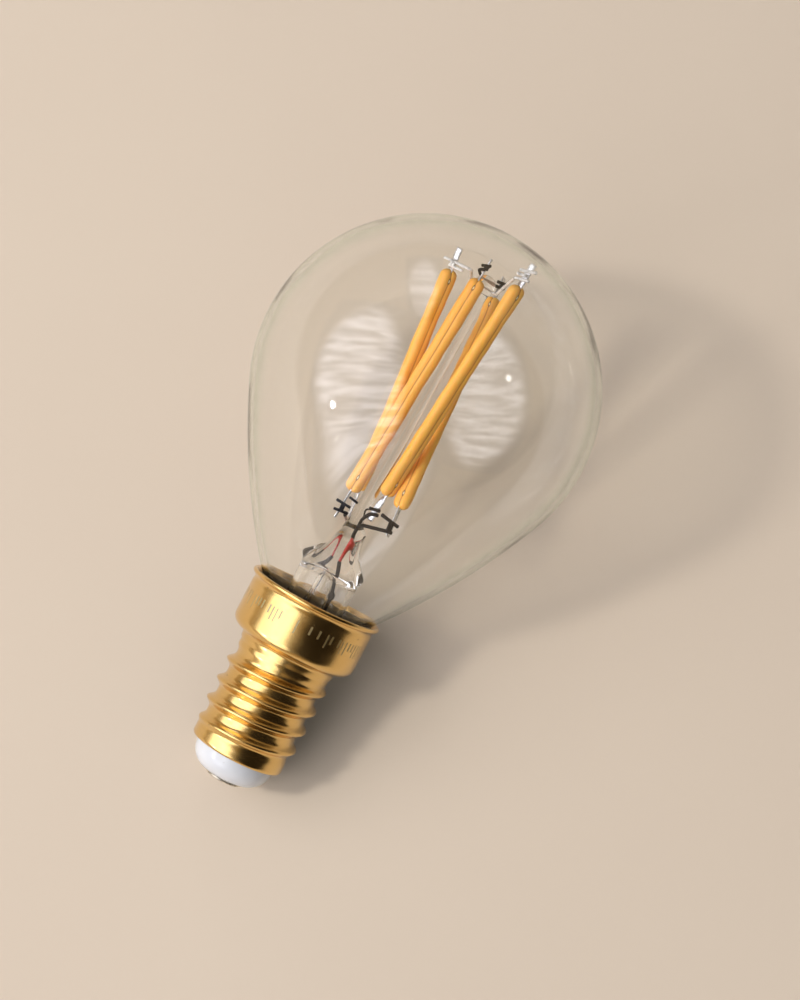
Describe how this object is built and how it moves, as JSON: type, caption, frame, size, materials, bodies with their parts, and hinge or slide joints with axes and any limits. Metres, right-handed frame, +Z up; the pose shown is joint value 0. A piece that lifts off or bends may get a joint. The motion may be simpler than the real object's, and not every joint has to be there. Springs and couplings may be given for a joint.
{
  "type": "filament lamp with screw cap",
  "caption": "Small clear-glass ball lamp with coated filaments on a glass stem and a brass small screw cap, unlit and lying on its side.",
  "frame": {"origin": "On the floor under the middle of the lamp's bounding box as it lies on its side.", "axes": "+Z up from the floor, +Y from the cap towards the ball, along the lamp's length as seen from above, +X to the right when looking along +Y."},
  "size_m": [0.045, 0.0768, 0.045],
  "materials": {
    "bulb_glass": "gloss",
    "stem_glass": "gloss",
    "phosphor": "satin",
    "carrier_metal": "satin",
    "bright_wire": "satin",
    "dark_wire": "satin",
    "red_seal_wire": "gloss",
    "cement": "matte",
    "cap_brass": "polished",
    "insulator": "gloss",
    "contact_metal": "satin",
    "circuit_board": "satin",
    "capacitor_sleeve": "gloss",
    "black_package": "matte",
    "tinned_wire": "satin"
  },
  "bodies": {
    "root": {"glass_bulb": "bulb_glass", "stem_glass": "stem_glass", "exhaust_tube": "stem_glass", "support_rod": "stem_glass", "phosphor_1": "phosphor", "phosphor_2": "phosphor", "phosphor_3": "phosphor", "phosphor_4": "phosphor", "carrier_1": "carrier_metal", "carrier_2": "carrier_metal", "carrier_3": "carrier_metal", "carrier_4": "carrier_metal", "anchor_front": "bright_wire", "anchor_rear": "dark_wire", "lead_front": "dark_wire", "branch_front": "dark_wire", "lead_rear": "dark_wire", "branch_rear": "dark_wire", "seal_front": "red_seal_wire", "seal_rear": "red_seal_wire", "tail_front": "dark_wire", "tail_rear": "dark_wire", "cement": "cement", "cap_shell": "cap_brass", "cap_insulator": "insulator", "centre_contact": "contact_metal", "driver_board": "circuit_board", "capacitor": "capacitor_sleeve", "rectifier": "black_package", "driver_chip": "black_package", "contact_wire": "tinned_wire", "shell_wire": "tinned_wire"}
  },
  "joints": []
}
